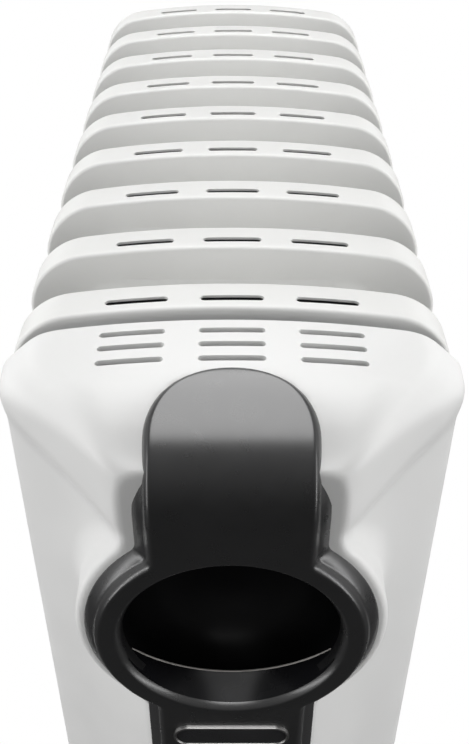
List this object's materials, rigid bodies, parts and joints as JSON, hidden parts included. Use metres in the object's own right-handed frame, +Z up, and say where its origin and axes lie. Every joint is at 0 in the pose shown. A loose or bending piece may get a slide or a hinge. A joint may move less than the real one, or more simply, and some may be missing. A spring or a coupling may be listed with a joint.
{
  "type": "oil filled radiator heater",
  "caption": "Free-standing oil filled radiator heater with slotted steel fins, a front control housing with a round grip cup, and swivel castors.",
  "frame": {"origin": "middle of the bounding box's base, on the floor under the castors", "axes": "+Z up, -Y towards the controls, +X to the right as seen from the controls"},
  "size_m": [0.246, 0.436, 0.64],
  "materials": {
    "white_enamel": "gloss",
    "enamelled_steel": "satin",
    "brass": "machined",
    "element_sheath": "dull",
    "zinc_steel": "zinc plated",
    "gasket_rubber": "matte",
    "screw_steel": "plain",
    "white_plastic": "semi-gloss",
    "satin_black": "satin",
    "gloss_black": "high gloss",
    "badge_metal": "brushed",
    "knob_black": "satin",
    "ivory_plastic": "moulded",
    "copper_bulb": "drawn",
    "amber_lens": "clear tinted",
    "lamp_glass": "clear",
    "black_plastic": "moulded",
    "wire_sleeve": "matte",
    "bracket_steel": "satin",
    "castor_plastic": "moulded",
    "wheel_plastic": "moulded"
  },
  "bodies": {
    "heater": {"fin_1": "white_enamel", "fin_2": "white_enamel", "fin_3": "white_enamel", "fin_4": "white_enamel", "fin_5": "white_enamel", "fin_6": "white_enamel", "fin_7": "white_enamel", "fin_8": "white_enamel", "fin_9": "white_enamel", "header_bushes_upper": "enamelled_steel", "header_bushes_lower": "enamelled_steel", "header_plugs": "enamelled_steel", "filler_plug": "brass", "heating_elements": "element_sheath", "element_flange": "zinc_steel", "element_gasket": "gasket_rubber", "bulkhead_plate": "zinc_steel", "bulkhead_screws": "screw_steel", "front_housing": "white_plastic", "lower_housing": "white_plastic", "grip_collar": "white_plastic", "control_fascia": "satin_black", "fascia_screws": "screw_steel", "grip_cup": "gloss_black", "badge_plate": "badge_metal", "thermostat_body": "ivory_plastic", "thermostat_bulb": "copper_bulb", "selector_switch_body": "ivory_plastic", "indicator_lens": "amber_lens", "indicator_lamp": "lamp_glass", "thermal_cutout": "black_plastic", "tilt_switch_body": "ivory_plastic", "tilt_pin": "zinc_steel", "terminal_block": "ivory_plastic", "control_bracket": "zinc_steel", "wiring_loom": "wire_sleeve", "cord_gland": "black_plastic", "cord_wrap": "satin_black", "wheel_bracket_front": "bracket_steel", "wheel_bracket_rear": "bracket_steel", "u_bolts": "zinc_steel", "wing_nuts": "zinc_steel"},
    "thermostat_dial": {"thermostat_knob": "knob_black", "thermostat_shaft": "zinc_steel"},
    "power_dial": {"selector_knob": "knob_black", "selector_shaft": "zinc_steel"},
    "pendulum": {"tilt_pendulum": "brass"},
    "castor_front_left": {"castor_front_left": "castor_plastic"},
    "wheels_front_left": {"axle_front_left": "zinc_steel", "wheels_front_left": "wheel_plastic"},
    "castor_front_right": {"castor_front_right": "castor_plastic"},
    "wheels_front_right": {"axle_front_right": "zinc_steel", "wheels_front_right": "wheel_plastic"},
    "castor_rear_left": {"castor_rear_left": "castor_plastic"},
    "wheels_rear_left": {"axle_rear_left": "zinc_steel", "wheels_rear_left": "wheel_plastic"},
    "castor_rear_right": {"castor_rear_right": "castor_plastic"},
    "wheels_rear_right": {"axle_rear_right": "zinc_steel", "wheels_rear_right": "wheel_plastic"}
  },
  "joints": [
    {"name": "thermostat_turn", "type": "hinge", "parent": "heater", "child": "thermostat_dial", "pos_m": [0, -0.205, 0.335], "axis": [0, 1, 0], "range_deg": [0, 270]},
    {"name": "power_turn", "type": "hinge", "parent": "heater", "child": "power_dial", "pos_m": [0, -0.205, 0.425], "axis": [0, 1, 0], "range_deg": [0, 135]},
    {"name": "tilt_swing", "type": "hinge", "parent": "heater", "child": "pendulum", "pos_m": [0, -0.155, 0.265], "axis": [1, 0, 0], "range_deg": [-25, 25]},
    {"name": "swivel_front_left", "type": "hinge", "parent": "heater", "child": "castor_front_left", "pos_m": [-0.105, -0.103, 0.06], "axis": [0, 0, 1], "continuous": true},
    {"name": "roll_front_left", "type": "hinge", "parent": "castor_front_left", "child": "wheels_front_left", "pos_m": [-0.105, -0.119, 0.02], "axis": [1, 0, 0], "continuous": true},
    {"name": "swivel_front_right", "type": "hinge", "parent": "heater", "child": "castor_front_right", "pos_m": [0.105, -0.103, 0.06], "axis": [0, 0, 1], "continuous": true},
    {"name": "roll_front_right", "type": "hinge", "parent": "castor_front_right", "child": "wheels_front_right", "pos_m": [0.105, -0.119, 0.02], "axis": [1, 0, 0], "continuous": true},
    {"name": "swivel_rear_left", "type": "hinge", "parent": "heater", "child": "castor_rear_left", "pos_m": [-0.105, 0.177, 0.06], "axis": [0, 0, 1], "continuous": true},
    {"name": "roll_rear_left", "type": "hinge", "parent": "castor_rear_left", "child": "wheels_rear_left", "pos_m": [-0.105, 0.161, 0.02], "axis": [1, 0, 0], "continuous": true},
    {"name": "swivel_rear_right", "type": "hinge", "parent": "heater", "child": "castor_rear_right", "pos_m": [0.105, 0.177, 0.06], "axis": [0, 0, 1], "continuous": true},
    {"name": "roll_rear_right", "type": "hinge", "parent": "castor_rear_right", "child": "wheels_rear_right", "pos_m": [0.105, 0.161, 0.02], "axis": [1, 0, 0], "continuous": true}
  ]
}
